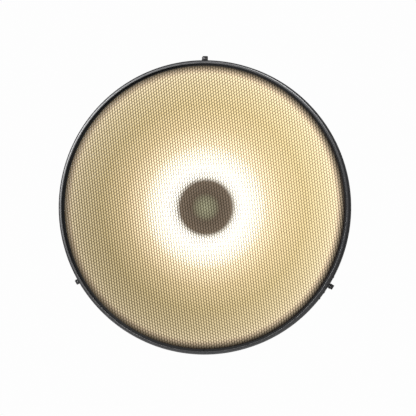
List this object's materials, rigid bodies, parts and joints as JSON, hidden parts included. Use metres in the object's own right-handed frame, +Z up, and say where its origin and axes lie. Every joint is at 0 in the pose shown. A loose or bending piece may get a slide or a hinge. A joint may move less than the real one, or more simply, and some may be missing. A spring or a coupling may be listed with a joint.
{
  "type": "honeycomb grid",
  "caption": "Round honeycomb grid for a beauty dish: a black rolled band with a rounded lip, a core of small open cells and sprung hooks that clip over the dish's flange.",
  "frame": {"origin": "on the ring's axis, in the plane of the rear lip that rests against the dish's flange", "axes": "+Y along the ring's axis, towards the dish; the front faces -Y; +Z is up, at the top hook"},
  "size_m": [0.695, 0.0422, 0.7056],
  "materials": {
    "band_black": "satin",
    "core_foil": "satin",
    "clip_black": "satin",
    "sleeve_rubber": "matte",
    "bright_steel": "satin",
    "rivet_grey": "satin"
  },
  "bodies": {
    "ring": {"rim_band": "band_black", "core_retaining_hoop": "band_black", "honeycomb_core": "core_foil", "splice_plate": "band_black", "splice_rivet_1": "rivet_grey", "splice_rivet_2": "rivet_grey", "splice_rivet_3": "rivet_grey", "clip_bracket_top": "clip_black", "hinge_pin_top": "bright_steel", "torsion_spring_top": "bright_steel", "bracket_rivet_front_top": "rivet_grey", "bracket_rivet_rear_top": "rivet_grey", "clip_bracket_lower_left": "clip_black", "hinge_pin_lower_left": "bright_steel", "torsion_spring_lower_left": "bright_steel", "bracket_rivet_front_lower_left": "rivet_grey", "bracket_rivet_rear_lower_left": "rivet_grey", "clip_bracket_lower_right": "clip_black", "hinge_pin_lower_right": "bright_steel", "torsion_spring_lower_right": "bright_steel", "bracket_rivet_front_lower_right": "rivet_grey", "bracket_rivet_rear_lower_right": "rivet_grey"},
    "hook_top": {"hook_top": "clip_black", "hook_sleeve_top": "sleeve_rubber"},
    "hook_lower_left": {"hook_lower_left": "clip_black", "hook_sleeve_lower_left": "sleeve_rubber"},
    "hook_lower_right": {"hook_lower_right": "clip_black", "hook_sleeve_lower_right": "sleeve_rubber"}
  },
  "joints": [
    {"name": "hook_top_swing", "type": "hinge", "parent": "ring", "child": "hook_top", "pos_m": [0, -0.0165, 0.3524], "axis": [1, 0, 0], "range_deg": [0, 85], "stiffness_Nm_per_rad": 0.064, "springref_deg": -60.16, "deforming": ["torsion_spring_top"]},
    {"name": "hook_lower_left_swing", "type": "hinge", "parent": "ring", "child": "hook_lower_left", "pos_m": [-0.30519, -0.0165, -0.1762], "axis": [-0.5, 0, 0.866], "range_deg": [0, 85], "stiffness_Nm_per_rad": 0.064, "springref_deg": -60.16, "deforming": ["torsion_spring_lower_left"]},
    {"name": "hook_lower_right_swing", "type": "hinge", "parent": "ring", "child": "hook_lower_right", "pos_m": [0.29918, -0.0165, -0.18622], "axis": [-0.5284, 0, -0.849], "range_deg": [0, 85], "stiffness_Nm_per_rad": 0.064, "springref_deg": -60.16, "deforming": ["torsion_spring_lower_right"]}
  ]
}
